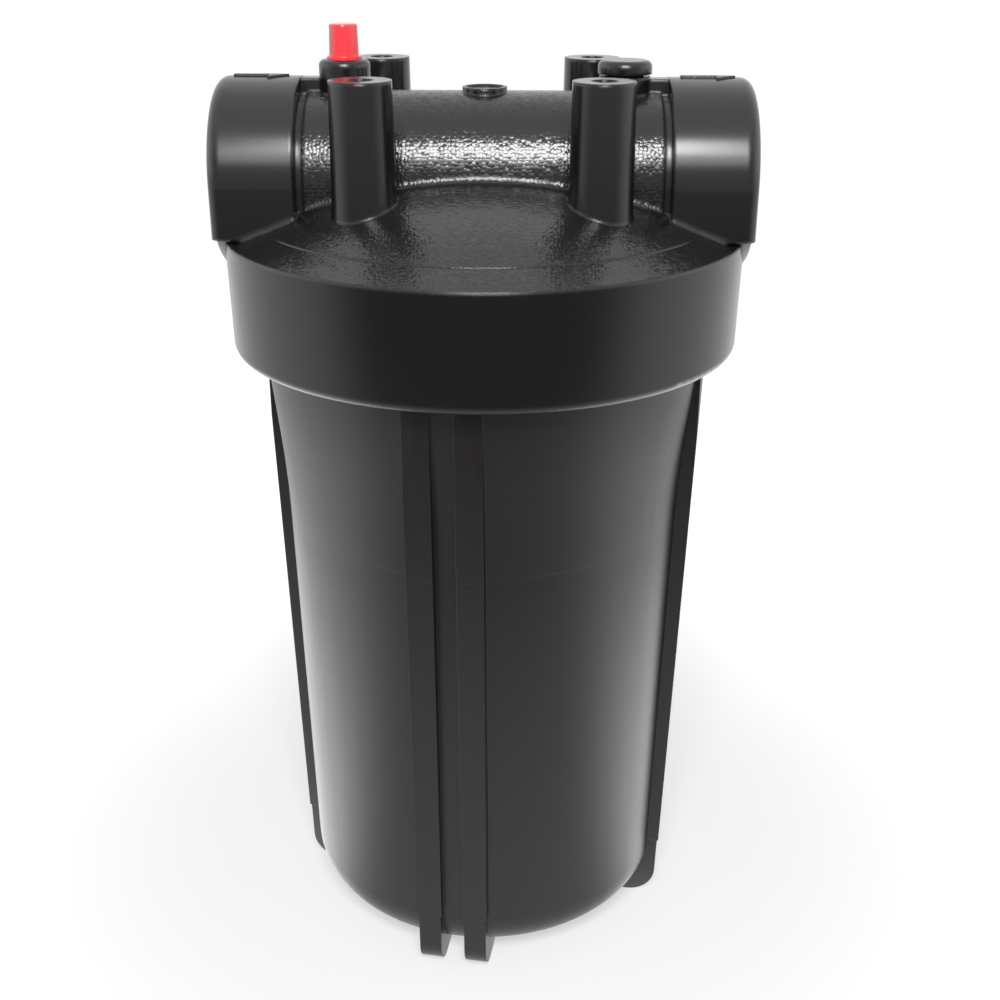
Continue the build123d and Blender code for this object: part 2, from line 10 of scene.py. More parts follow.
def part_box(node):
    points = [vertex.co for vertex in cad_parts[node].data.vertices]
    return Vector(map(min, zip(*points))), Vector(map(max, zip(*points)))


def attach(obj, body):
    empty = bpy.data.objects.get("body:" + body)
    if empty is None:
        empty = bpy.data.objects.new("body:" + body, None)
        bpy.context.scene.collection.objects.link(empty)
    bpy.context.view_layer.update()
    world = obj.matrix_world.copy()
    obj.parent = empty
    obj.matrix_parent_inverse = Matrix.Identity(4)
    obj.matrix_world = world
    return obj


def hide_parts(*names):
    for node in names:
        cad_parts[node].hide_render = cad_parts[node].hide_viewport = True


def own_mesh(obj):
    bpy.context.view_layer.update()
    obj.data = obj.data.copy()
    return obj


bl_info = {
    "name": "Cartridge Canister Filter",
    "version": (1, 0, 0),
    "blender": (4, 5, 0),
    "location": "3D View > Sidebar > Canister Filter",
    "description": "Dresses the solids of a cartridge filter with threads, arrows and finishes",
    "category": "Object",
}

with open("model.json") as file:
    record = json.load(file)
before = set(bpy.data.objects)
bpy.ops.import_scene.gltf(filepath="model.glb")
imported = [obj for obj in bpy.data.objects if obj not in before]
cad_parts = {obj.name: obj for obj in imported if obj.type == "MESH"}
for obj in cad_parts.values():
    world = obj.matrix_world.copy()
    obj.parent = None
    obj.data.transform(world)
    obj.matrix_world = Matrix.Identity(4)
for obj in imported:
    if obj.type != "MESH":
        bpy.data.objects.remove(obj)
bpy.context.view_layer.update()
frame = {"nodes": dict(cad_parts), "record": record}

MM = 0.001


# ---------------------------------------------------------------- shader writing
class Signal:
    """An output socket that takes part in Python arithmetic; every operation adds a Math node."""

    def __init__(self, shader, socket):
        self.shader = shader
        self.socket = socket

    def maths(self, operation, *values):
        return self.shader.node("ShaderNodeMath", {"operation": operation}, dict(enumerate(values)))[0]

    def __add__(self, other):
        return self.maths("ADD", self, other)

    __radd__ = __add__

    def __sub__(self, other):
        return self.maths("SUBTRACT", self, other)

    def __rsub__(self, other):
        return self.maths("SUBTRACT", other, self)

    def __mul__(self, other):
        return self.maths("MULTIPLY", self, other)

    __rmul__ = __mul__

    def __truediv__(self, other):
        return self.maths("DIVIDE", self, other)

    def __abs__(self):
        return self.maths("ABSOLUTE", self)

    def below(self, limit):
        return self.maths("LESS_THAN", self, limit)

    def above(self, limit):
        return self.maths("GREATER_THAN", self, limit)

    def largest(self, other):
        return self.maths("MAXIMUM", self, other)

    def root(self):
        return self.maths("SQRT", self)

    def ramp(self, start, end, low=0.0, high=1.0):
        """Runs smoothly from low at start to high at end."""
        smooth = {"interpolation_type": "SMOOTHSTEP"}
        values = {"Value": self, "From Min": start, "From Max": end, "To Min": low, "To Max": high}
        return self.shader.node("ShaderNodeMapRange", smooth, values)["Result"]


class Node:
    """A shader node whose outputs are read as signals."""

    def __init__(self, shader, made):
        self.shader = shader
        self.made = made

    def __getitem__(self, output):
        return Signal(self.shader, self.made.outputs[output])


class Shader:
    """Writes the nodes of one finish, of the floor or of the world."""

    def __init__(self, tree):
        self.tree = tree
        self.tree.nodes.clear()

    def node(self, kind, settings, values):
        """Adds a node: its settings first, then a value or a signal for each socket."""
        made = self.tree.nodes.new(kind)
        for name, value in settings.items():
            setattr(made, name, value)
        for name, value in values.items():
            if isinstance(value, Signal):
                self.tree.links.new(value.socket, made.inputs[name])
            else:
                made.inputs[name].default_value = value
        return Node(self, made)

    def place(self):
        """Position on the object, in metres."""
        return self.node("ShaderNodeTexCoord", {}, {})["Object"]

    def parts_of(self, vector):
        split = self.node("ShaderNodeSeparateXYZ", {}, {0: vector})
        return split["X"], split["Y"], split["Z"]

    def stretched(self, vector, x, y, z):
        return self.node("ShaderNodeMapping", {}, {"Vector": vector, "Scale": (x, y, z)})[0]

    def noise(self, vector, scale, detail=2.0, roughness=0.5):
        values = {"Vector": vector, "Scale": scale, "Detail": detail, "Roughness": roughness}
        return self.node("ShaderNodeTexNoise", {}, values)[0]

    def vector_maths(self, operation, values):
        return self.node("ShaderNodeVectorMath", {"operation": operation}, values)[0]

    def shifted(self, vector, colour, reach):
        """The vector moved by up to reach along each axis, as far as the colour's channels say."""
        around = self.vector_maths("SUBTRACT", {0: colour, 1: (0.5, 0.5, 0.5)})
        shift = self.vector_maths("SCALE", {0: around, "Scale": 2 * reach})
        return self.vector_maths("ADD", {0: vector, 1: shift})

    def length_of(self, x, y):
        return (x * x + y * y).root()

    def wandering(self, vector, scale, reach):
        """The place moved about by a noise, so that straight patterns bend."""
        values = {"Vector": vector, "Scale": scale, "Detail": 1.0}
        noise = self.node("ShaderNodeTexNoise", {}, values)["Color"]
        return self.shifted(vector, noise, reach)

    def pebbles(self, vector, scale):
        """Scattered pebbles: the distance from the nearest one and a colour of its own."""
        values = {"Vector": vector, "Scale": scale, "Randomness": 0.9}
        return self.node("ShaderNodeTexVoronoi", {"feature": "F1"}, values)

    def tilted(self, normal, colour, reach):
        """The normal leant over by up to reach, one way for each colour."""
        return self.vector_maths("NORMALIZE", {0: self.shifted(normal, colour, reach)})

    def mix_colours(self, share, first, second):
        values = {0: share, 6: first, 7: second}
        return self.node("ShaderNodeMix", {"data_type": "RGBA"}, values)[2]

    def bump(self, height, distance, strength=1.0, normal=None):
        values = {"Height": height, "Distance": distance, "Strength": strength}
        if normal is not None:
            values["Normal"] = normal
        return self.node("ShaderNodeBump", {}, values)["Normal"]

    def rounded_edges(self, radius):
        return self.node("ShaderNodeBevel", {"samples": 6}, {"Radius": radius})[0]

    def surface(self, **sockets):
        """Ends the tree in a Principled shader; words in socket names are joined by underscores."""
        values = {name.replace("_", " "): value for name, value in sockets.items()}
        shade = self.node("ShaderNodeBsdfPrincipled", {}, values)[0]
        self.node("ShaderNodeOutputMaterial", {"target": "ALL"}, {"Surface": shade})


def new_finish(name):
    """An empty material and the writer of its nodes."""
    material = bpy.data.materials.new(name)
    material.use_nodes = True
    return material, Shader(material.node_tree)


def shade(colour, factor):
    """The colour made lighter or darker, with full alpha."""
    return tuple(min(1.0, c * factor) for c in colour[:3]) + (1.0,)


# ---------------------------------------------------------------- finishes
FINE_RELIEF = 0.00003              # depth of the grain that any moulding has
RIPPLE_DEPTH = 0.00004             # depth of the waves in the head's surface
WITNESS_WIDTH = 0.00018            # half the width of the mould's witness line
SUMP_EDGE = 0.0005                 # radius at which the sump's edges look rounded
HEAD_EDGE = 0.0016
SMALL_EDGE = 0.0004                # the same for the button and the cartridge

# How far the head's smooth faces reach.
COLLAR_FOOT = 0.0027               # inward of a collar's inner end
COLLAR_SIDE = 0.0006               # outward of a collar's side
BOSS_REACH = 0.0112                # round the axis of a mounting boss
RELIEF_REACH = 0.0096              # round the axis of the relief boss and of the plug's boss
RELIEF_ABOVE_PORT = 0.020          # from the ports' axis up to where these bosses start
WEB_REACH = 0.0037                 # either side of a collar's upright web
WEB_START = 0.050                  # from the middle of the head to a web
WEB_ABOVE_PORT = 0.0283            # from the ports' axis up to where a web starts
DISC_REACH = 0.0079                # round the axis of the blank disc on the tube
DISC_ABOVE_PORT = 0.0275           # from the ports' axis up to where the disc starts

# The pleats' painted shade runs from the core, where it is deepest, out to the fold.
FOLD_INNER = 0.030
FOLD_OUTER = 0.0546


def satin_moulding(name, settings):
    """Satin moulded plastic with fine grain, faint flow lines along Z and softly rounded edges."""
    material, s = new_finish(name)
    place = s.place()
    cloud = s.noise(place, 14.0, 3.0)
    flow = s.noise(s.stretched(place, 260.0, 260.0, 6.0), 1.0, 2.0)
    grain = s.noise(place, 2600.0, 1.0)
    dust = s.noise(place, 900.0, 0.0).ramp(0.76, 0.82)
    shaded = s.mix_colours(cloud, shade(settings.colour, 0.86), shade(settings.colour, 1.14))
    dusty = s.mix_colours(dust * 0.25, shaded, shade(settings.colour, 3.0))
    z = s.parts_of(place)[2]
    witness = abs(z - settings.witness_height).below(WITNESS_WIDTH)
    roughness = settings.roughness + (cloud - 0.5) * 0.08 + (flow - 0.5) * 0.06 + dust * 0.1
    height = grain * 0.5 + flow * 0.25 - witness * 0.8
    s.surface(
        Base_Color=dusty, Roughness=roughness,
        Normal=s.bump(height, FINE_RELIEF, 1.0, s.rounded_edges(SUMP_EDGE)),
    )
    return material


def head_moulding(name, settings):
    """Glossy moulded plastic whose tube, dome and chamfer band are leather-grained."""
    material, s = new_finish(name)
    place = s.place()
    x, y, z = s.parts_of(place)
    along, across = abs(x), abs(y)
    above_port = z - settings.port_height
    from_middle = s.length_of(x, y)
    from_boss = s.length_of(along - settings.boss_spacing / 2, across - settings.boss_spacing / 2)
    from_relief = s.length_of(along - settings.relief_place, y)
    collar_start = settings.collar_start - COLLAR_FOOT
    collar = along.above(collar_start) * across.below(settings.collar_radius + COLLAR_SIDE)
    boss = from_boss.below(BOSS_REACH)
    relief = from_relief.below(RELIEF_REACH) * above_port.above(RELIEF_ABOVE_PORT)
    web = across.below(WEB_REACH) * along.above(WEB_START) * above_port.above(WEB_ABOVE_PORT)
    disc = from_middle.below(DISC_REACH) * above_port.above(DISC_ABOVE_PORT)
    smooth_part = collar.largest(boss).largest(relief).largest(web).largest(disc)
    grained = z.above(settings.skirt_top) * (1 - smooth_part)
    bent = s.wandering(place, 0.8 / settings.grain_size, settings.grain_size * 0.2)
    pebble = s.pebbles(bent, 1 / settings.grain_size)
    swell = s.noise(place, 0.5 / settings.grain_size, 1.0)
    leather = swell * 0.6 - pebble["Distance"] * pebble["Distance"] * 2.0
    cloud = s.noise(place, 20.0, 2.0)
    ripple = s.noise(place, 90.0, 1.0)
    dust = s.noise(place, 1700.0, 0.0).ramp(0.80, 0.84)
    shaded = s.mix_colours(cloud, shade(settings.colour, 0.85), shade(settings.colour, 1.2))
    dusty = s.mix_colours(dust * 0.12, shaded, shade(settings.colour, 8.0))
    roughness = (
        settings.gloss_roughness + grained * (settings.grain_roughness - settings.gloss_roughness)
        + (cloud - 0.5) * 0.05
    )
    edges = s.tilted(s.rounded_edges(HEAD_EDGE), pebble["Color"], grained * settings.grain_tilt)
    waves = s.bump(ripple, RIPPLE_DEPTH, 0.5, edges)
    s.surface(
        Base_Color=dusty, Roughness=roughness,
        Normal=s.bump(leather * grained, settings.grain_depth, 1.0, waves),
    )
    return material


def button_moulding(name, settings):
    """Glossy coloured plastic, with painted shade towards its foot and painted light towards its top.
    """
    material, s = new_finish(name)
    place = s.place()
    cloud = s.noise(place, 120.0, 2.0)
    z = s.parts_of(place)[2]
    foot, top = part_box("relief_button")
    # Painted shade and light: the colour is darker towards the button's foot and lighter towards its
    # top.
    height = z.ramp(foot.z, top.z)
    share = height * 0.7 + cloud * 0.3
    colour = s.mix_colours(share, shade(settings.colour, 0.75), shade(settings.colour, 1.1))
    s.surface(
        Base_Color=colour, Roughness=0.24 + (cloud - 0.5) * 0.08,
        Normal=s.bump(cloud, FINE_RELIEF, 0.6, s.rounded_edges(SMALL_EDGE)),
        Coat_Weight=0.4, Coat_Roughness=0.08,
    )
    return material


def rubber(name, colour):
    """Matt moulded rubber with a fine bloom."""
    material, s = new_finish(name)
    place = s.place()
    bloom = s.noise(place, 60.0, 3.0)
    grain = s.noise(place, 3200.0, 1.0)
    tone = s.mix_colours(bloom, shade(colour, 0.8), shade(colour, 1.5))
    s.surface(Base_Color=tone, Roughness=0.62 + (bloom - 0.5) * 0.12, Normal=s.bump(grain, FINE_RELIEF))
    return material


def pleated_cloth(name, settings):
    """Non-woven filter paper: matted fibres, and a soft painted shade deep in the folds."""
    material, s = new_finish(name)
    place = s.place()
    x, y, z = s.parts_of(place)
    # Painted shade: the media is darker towards the core, deep in the pleats.
    painted_pleat_shade = s.length_of(x, y).ramp(FOLD_INNER, FOLD_OUTER)
    fibres = s.noise(s.stretched(place, 1500.0, 1500.0, 500.0), 1.0, 4.0, 0.7)
    mat = s.noise(place, 160.0, 3.0)
    share = painted_pleat_shade * 0.75 + mat * 0.25
    tone = s.mix_colours(share, shade(settings.media_colour, 0.78), shade(settings.media_colour, 1.0))
    s.surface(
        Base_Color=tone, Roughness=0.9, Sheen_Weight=0.3,
        Normal=s.bump(fibres + mat * 0.4, 0.00012),
    )
    return material


def pale_moulding(name, colour):
    """Matt pale moulded plastic."""
    material, s = new_finish(name)
    place = s.place()
    cloud = s.noise(place, 40.0, 3.0)
    grain = s.noise(place, 2400.0, 1.0)
    tone = s.mix_colours(cloud, shade(colour, 0.94), shade(colour, 1.03))
    s.surface(
        Base_Color=tone, Roughness=0.48 + (cloud - 0.5) * 0.1,
        Normal=s.bump(grain, FINE_RELIEF, 1.0, s.rounded_edges(SMALL_EDGE)),
    )
    return material


def drawn_steel(name, colour):
    """Stainless steel with fine drawing marks."""
    material, s = new_finish(name)
    place = s.place()
    marks = s.noise(s.stretched(place, 4000.0, 4000.0, 300.0), 1.0, 2.0)
    cloud = s.noise(place, 300.0, 2.0)
    tone = s.mix_colours(cloud, shade(colour, 0.9), shade(colour, 1.08))
    s.surface(
        Base_Color=tone, Metallic=1.0, Roughness=0.26 + (marks - 0.5) * 0.18,
        Normal=s.bump(marks, 0.00001),
    )
    return material


# ---------------------------------------------------------------- meshes
def new_piece(name, vertices, faces, material, body, slot):
    """A mesh object in the row frame that rides on a body."""
    mesh = bpy.data.meshes.new(name)
    mesh.from_pydata(vertices, [], faces)
    mesh.update()
    mesh.materials.append(material)
    mesh.shade_smooth()
    piece = bpy.data.objects.new(name, mesh)
    bpy.context.scene.collection.objects.link(piece)
    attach(piece, body)
    return piece


def soften(piece, width):
    """Rounds a piece's edges."""
    bevel = piece.modifiers.new("rounded", "BEVEL")
    bevel.width = width
    bevel.segments = 2
    bevel.limit_method = "ANGLE"
    bevel.angle_limit = math.radians(30)
    bevel.harden_normals = True


def finish_node(node, material):
    """Gives a carried-over solid its finish."""
    piece = frame["nodes"][node]
    piece.data.materials.clear()
    piece.data.materials.append(material)
    for face in piece.data.polygons:
        face.material_index = 0


def thread_mesh(profile, turns, pitch, fade, steps, place):
    """A ridge wound along a helix; profile gives corners (height above the wall, offset along it)."""
    vertices, faces = [], []
    total = int(turns * steps)
    for i in range(total + 1):
        angle = 2 * math.pi * i / steps
        share = min(1.0, i / (fade * steps), (total - i) / (fade * steps))
        lift = math.sin(share * math.pi / 2)
        for height, offset in profile:
            lifted = max(height * lift, min(height, 0.0))
            vertices.append(place(angle, lifted, pitch * i / steps + offset))
    corners = len(profile)
    for i in range(total):
        for j in range(corners):
            a, b = i * corners + j, i * corners + (j + 1) % corners
            faces.append((a, b, b + corners, a + corners))
    faces.append(tuple(range(corners - 1, -1, -1)))
    faces.append(tuple(total * corners + j for j in range(corners)))
    return vertices, faces


def ring_mesh(radius, height, section, steps, corners):
    """A round bead that lies level round the Z axis."""
    vertices, faces = [], []
    for i in range(steps):
        angle = 2 * math.pi * i / steps
        for j in range(corners):
            turn = 2 * math.pi * j / corners
            out = radius + section * math.cos(turn)
            up = height + section * math.sin(turn)
            vertices.append((out * math.cos(angle), out * math.sin(angle), up))
            here, there = i * corners, (i + 1) % steps * corners
            k = (j + 1) % corners
            faces.append((here + j, there + j, there + k, here + k))
    return vertices, faces


# ---------------------------------------------------------------- settings
class SumpSettings(bpy.types.PropertyGroup):
    """Looks of the bowl, and the thread on its neck"""

    colour: FloatVectorProperty(
        name="Sump colour", description="Colour of the bowl's satin plastic", subtype="COLOR",
        size=3, min=0.0, max=1.0, default=(0.0066, 0.0056, 0.0049),
    )
    roughness: FloatProperty(
        name="Sump roughness", description="How matt the bowl is", subtype="FACTOR", min=0.0,
        max=1.0, default=0.36,
    )
    witness_height: FloatProperty(
        name="Witness line", description="Height of the faint line left by the mould's core",
        unit="LENGTH", default=0.171,
    )
    thread_pitch: FloatProperty(
        name="Thread pitch", description="Rise of the bowl's thread in one turn", unit="LENGTH",
        min=0.002, default=0.005,
    )
    thread_root: FloatProperty(
        name="Neck radius", description="Radius of the bowl's neck under the thread", unit="LENGTH",
        default=0.081,
    )
    thread_height: FloatProperty(
        name="Thread height", description="How far the bowl's thread stands out", unit="LENGTH",
        default=0.0021,
    )
    thread_start: FloatProperty(
        name="Thread start", description="Height of the thread's lower end", unit="LENGTH",
        default=0.2455,
    )
    thread_turns: FloatProperty(
        name="Thread turns", description="Number of turns on the neck", min=0.5, default=3.0,
    )


class HeadSettings(bpy.types.PropertyGroup):
    """Looks of the head, its threads, beads and arrows, and where its smooth faces lie"""

    colour: FloatVectorProperty(
        name="Head colour", description="Colour of the head's plastic", subtype="COLOR", size=3,
        min=0.0, max=1.0, default=(0.0075, 0.0075, 0.0085),
    )
    gloss_roughness: FloatProperty(
        name="Gloss roughness", description="Roughness of the smooth faces", subtype="FACTOR",
        min=0.0, max=1.0, default=0.22,
    )
    grain_roughness: FloatProperty(
        name="Grain roughness", description="Roughness of the grained faces", subtype="FACTOR",
        min=0.0, max=1.0, default=0.2,
    )
    grain_size: FloatProperty(
        name="Grain size", description="Spacing of the leather grain", unit="LENGTH", min=0.0002,
        default=0.0013,
    )
    grain_depth: FloatProperty(
        name="Grain depth", description="Depth of the leather grain", unit="LENGTH", min=0.0,
        default=0.00005,
    )
    grain_tilt: FloatProperty(
        name="Grain tilt", description="How far the pebbles of the grain lean over", min=0.0,
        max=1.0, default=0.05,
    )
    port_height: FloatProperty(
        name="Port height", description="Height of the ports' axis", unit="LENGTH", default=0.2933,
    )
    collar_start: FloatProperty(
        name="Collar start", description="Distance from the middle to a collar's inner end",
        unit="LENGTH", default=0.063,
    )
    collar_radius: FloatProperty(
        name="Collar radius", description="Radius of a port collar", unit="LENGTH", default=0.0328,
    )
    boss_spacing: FloatProperty(
        name="Boss spacing", description="Distance between the mounting bosses", unit="LENGTH",
        default=0.0775,
    )
    relief_place: FloatProperty(
        name="Relief place", description="Distance from the middle to the relief boss",
        unit="LENGTH", default=0.048,
    )
    skirt_top: FloatProperty(
        name="Skirt top", description="Height of the skirt's upper edge", unit="LENGTH",
        default=0.2742,
    )
    thread_radius: FloatProperty(
        name="Skirt bore", description="Radius of the skirt's bore", unit="LENGTH", default=0.0835,
    )
    thread_height: FloatProperty(
        name="Thread height", description="How far the skirt's thread stands in", unit="LENGTH",
        default=0.0021,
    )
    port_thread_pitch: FloatProperty(
        name="Port thread pitch", description="Pitch of the pipe thread", unit="LENGTH",
        default=0.0022087,
    )
    port_thread_height: FloatProperty(
        name="Port thread height", description="Height of the pipe thread", unit="LENGTH",
        default=0.0016,
    )
    port_thread_turns: FloatProperty(
        name="Port thread turns", description="Number of turns in a port", min=1.0, default=6.8,
    )
    bead_radius: FloatProperty(
        name="Bead radius", description="Half the thickness of the moulded beads", unit="LENGTH",
        default=0.0007,
    )
    dome_edge_radius: FloatProperty(
        name="Dome bead", description="Radius of the bead round the dome's edge", unit="LENGTH",
        default=0.0798,
    )
    dome_edge_height: FloatProperty(
        name="Dome bead height", description="Height of the bead round the dome", unit="LENGTH",
        default=0.2785,
    )
    skirt_edge_radius: FloatProperty(
        name="Skirt bead", description="Radius of the bead round the skirt's upper edge",
        unit="LENGTH", default=0.0911,
    )
    skirt_edge_height: FloatProperty(
        name="Skirt bead height", description="Height of the bead round the skirt", unit="LENGTH",
        default=0.27375,
    )
    arrow_length: FloatProperty(
        name="Arrow length", description="Length of a flow arrow", unit="LENGTH", default=0.019,
    )
    arrow_height: FloatProperty(
        name="Arrow height", description="How far a flow arrow stands up", unit="LENGTH",
        default=0.0007,
    )


class ValveSettings(bpy.types.PropertyGroup):
    """Looks and travel of the relief valve, and the rings' colour"""

    colour: FloatVectorProperty(
        name="Button colour", description="Colour of the relief button", subtype="COLOR", size=3,
        min=0.0, max=1.0, default=(0.84, 0.036, 0.052),
    )
    press_travel: FloatProperty(
        name="Press travel", description="How far the relief button goes down", unit="LENGTH",
        min=0.0, default=0.003,
    )
    steel_colour: FloatVectorProperty(
        name="Steel colour", description="Colour of spring, washer and screw", subtype="COLOR",
        size=3, min=0.0, max=1.0, default=(0.62, 0.62, 0.60),
    )
    rubber_colour: FloatVectorProperty(
        name="Rubber colour", description="Colour of the rings", subtype="COLOR", size=3, min=0.0,
        max=1.0, default=(0.016, 0.016, 0.016),
    )


class CartridgeSettings(bpy.types.PropertyGroup):
    """Looks of the cartridge"""

    media_colour: FloatVectorProperty(
        name="Media colour", description="Colour of the pleated media", subtype="COLOR", size=3,
        min=0.0, max=1.0, default=(0.80, 0.80, 0.77),
    )
    cap_colour: FloatVectorProperty(
        name="End cap colour", description="Colour of end caps and core", subtype="COLOR", size=3,
        min=0.0, max=1.0, default=(0.74, 0.74, 0.72),
    )
    gasket_colour: FloatVectorProperty(
        name="Gasket colour", description="Colour of the flat gaskets", subtype="COLOR", size=3,
        min=0.0, max=1.0, default=(0.66, 0.65, 0.61),
    )


class StageSettings(bpy.types.PropertyGroup):
    """Camera, lamps, surroundings and floor"""

    azimuth: FloatProperty(
        name="Azimuth", description="Where the camera stands round the filter", subtype="ANGLE",
        default=math.radians(0.43),
    )
    elevation: FloatProperty(
        name="Elevation", description="How far the camera looks down", subtype="ANGLE",
        default=math.radians(23.3),
    )
    roll: FloatProperty(
        name="Roll", description="Tilt of the camera about its own axis", subtype="ANGLE",
        default=math.radians(0.19),
    )
    distance: FloatProperty(
        name="Distance", description="From the camera to the point that it looks at", unit="LENGTH",
        default=0.53227,
    )
    target: FloatVectorProperty(
        name="Target", description="Point that the camera looks at", subtype="TRANSLATION",
        unit="LENGTH", size=3, default=(0.00694, 0.0, 0.16748),
    )
    lens: FloatProperty(
        name="Lens", description="Focal length in millimetres", min=10.0, default=49.254,
    )
    shift: FloatVectorProperty(
        name="Shift", description="Shift of the picture", size=2, default=(-0.00357, 0.00114),
    )
    key_strength: FloatProperty(
        name="Front lamp", description="Power of the high front softbox in watts", min=0.0,
        default=13.0,
    )
    fill_strength: FloatProperty(
        name="Fill lamp", description="Power of the wide low softbox in watts", min=0.0,
        default=4.2,
    )
    world_strength: FloatProperty(
        name="Surroundings", description="How much the surroundings light the filter", min=0.0,
        default=0.35,
    )
    floor_size: FloatProperty(
        name="Floor size", description="Half the width of the floor", unit="LENGTH", default=9.0,
    )


# ---------------------------------------------------------------- operators
THREAD_FLOOR = 0.0004              # how far a thread reaches into the wall that carries it
THREAD_BASE = 0.24                 # half the width of a thread's foot, as a share of its pitch
THREAD_CREST = 0.11                # the same for its crest
THREAD_FADE = 0.12                 # part of a turn over which it rises
THREAD_STEPS = 120
THREAD_ROUNDING = 0.0003

PORT_THREAD_FLOOR = 0.0003
PORT_THREAD_BASE = 0.46
PORT_THREAD_CREST = 0.06
PORT_THREAD_FADE = 0.25
PORT_THREAD_STEPS = 72
PORT_THREAD_START = 0.0022         # from the port's face to the first turn

ARROW_SHAFT = 0.0016               # half the width of an arrow's shaft
ARROW_HEAD = 0.0048                # the same for its head
ARROW_HEAD_LENGTH = 0.007
ARROW_FROM_COLLAR = 0.0135         # from a collar's inner end to the middle of its arrow
ARROW_FLOOR = 0.0006               # how far an arrow reaches into its collar
ARROW_ROUNDING = 0.00025

BEAD_STEPS = 240
BEAD_CORNERS = 12

FLOOR_CLEARANCE = 0.0002           # from the floor up to the feet

WHITE = (1, 1, 1, 1)
BLACK = (0, 0, 0, 1)
FLOOR_NEAR_TONE = (0.40, 0.40, 0.40, 1)
FLOOR_FAR_TONE = (0.03, 0.03, 0.03, 1)
FLOOR_PAINT_IN_MIRROR = 0.9        # how much of its paint the floor loses where the filter mirrors it

# What the filter mirrors of the room: how bright it is on each side.
ROOM_AHEAD = 0.6
ROOM_BESIDE = 1.9
ROOM_BEHIND = 1.1
ROOM_OVERHEAD = 1.2

# Each softbox: its name, place, width and height, and the setting that holds its power.
SOFTBOXES = (
    ("front_softbox", (0.02, -0.92, 1.08), (0.44, 0.32), "key_strength"),
    ("fill_softbox", (0.0, -1.06, 0.88), (0.80, 0.36), "fill_strength"),
)


class FilterSump(bpy.types.Operator):
    """Finish the ribbed sump and wind the screw thread on its neck"""

    bl_idname = "canister_filter.sump"
    bl_label = "Sump"

    def execute(self, context):
        settings = context.scene.filter_sump
        plastic = satin_moulding("satin_black_plastic", settings)
        finish_node("sump", plastic)
        root, rise, pitch = settings.thread_root, settings.thread_height, settings.thread_pitch
        base, crest = pitch * THREAD_BASE, pitch * THREAD_CREST
        profile = ((-THREAD_FLOOR, -base), (rise, -crest), (rise, crest), (-THREAD_FLOOR, base))
        low = settings.thread_start

        def place(angle, height, z):
            radius = root + height
            return radius * math.cos(angle), radius * math.sin(angle), low + z

        ridge = thread_mesh(profile, settings.thread_turns, pitch, THREAD_FADE, THREAD_STEPS, place)
        thread = new_piece("neck_thread", *ridge, plastic, "bowl", "sump_plastic")
        soften(thread, THREAD_ROUNDING)
        return {"FINISHED"}


class FilterHead(bpy.types.Operator):
    """Finish the head and its plug, and wind the screw thread in its skirt"""

    bl_idname = "canister_filter.head"
    bl_label = "Head"

    def execute(self, context):
        settings = context.scene.filter_head
        sump = context.scene.filter_sump
        plastic = head_moulding("glossy_black_plastic", settings)
        finish_node("head_cap", plastic)
        finish_node("outlet_plug", plastic)
        for name, radius, height in (
            ("dome_edge_bead", settings.dome_edge_radius, settings.dome_edge_height),
            ("skirt_edge_bead", settings.skirt_edge_radius, settings.skirt_edge_height),
        ):
            bead = ring_mesh(radius, height, settings.bead_radius, BEAD_STEPS, BEAD_CORNERS)
            new_piece(name, *bead, plastic, "head", "head_plastic")
        bore, rise, pitch = settings.thread_radius, settings.thread_height, sump.thread_pitch
        base, crest = pitch * THREAD_BASE, pitch * THREAD_CREST
        profile = ((-THREAD_FLOOR, base), (rise, crest), (rise, -crest), (-THREAD_FLOOR, -base))
        low = sump.thread_start - pitch / 2      # its ridge runs in the furrow of the bowl's thread

        def place(angle, height, z):
            radius = bore - height
            return radius * math.cos(angle), radius * math.sin(angle), low + z

        turns = sump.thread_turns + 0.5
        ridge = thread_mesh(profile, turns, pitch, THREAD_FADE, THREAD_STEPS, place)
        thread = new_piece("skirt_thread", *ridge, plastic, "head", "head_plastic")
        soften(thread, THREAD_ROUNDING)
        return {"FINISHED"}


class FilterPorts(bpy.types.Operator):
    """Wind the pipe threads in the two ports"""

    bl_idname = "canister_filter.ports"
    bl_label = "Port threads"

    def execute(self, context):
        settings = context.scene.filter_head
        plastic = bpy.data.materials["glossy_black_plastic"]
        mount = {m["name"]: m for m in frame["record"]["mounts"]}
        pitch, rise = settings.port_thread_pitch, settings.port_thread_height
        base, crest = pitch * PORT_THREAD_BASE, pitch * PORT_THREAD_CREST
        floor = -PORT_THREAD_FLOOR
        profile = ((floor, base), (rise, crest), (rise, -crest), (floor, -base))
        turns = settings.port_thread_turns
        for name, sign in (("inlet", -1), ("outlet", 1)):
            port = mount[f"{name}_port"]
            bore = port["dims"]["r_mm"] * MM
            face = port["pos_m"]

            def place(angle, height, depth):
                radius = bore - height
                along = face[0] - sign * (PORT_THREAD_START + depth)
                return along, radius * math.cos(angle) * sign, face[2] + radius * math.sin(angle)

            ridge = thread_mesh(profile, turns, pitch, PORT_THREAD_FADE, PORT_THREAD_STEPS, place)
            new_piece(f"{name}_port_thread", *ridge, plastic, "head", "head_plastic")
        return {"FINISHED"}


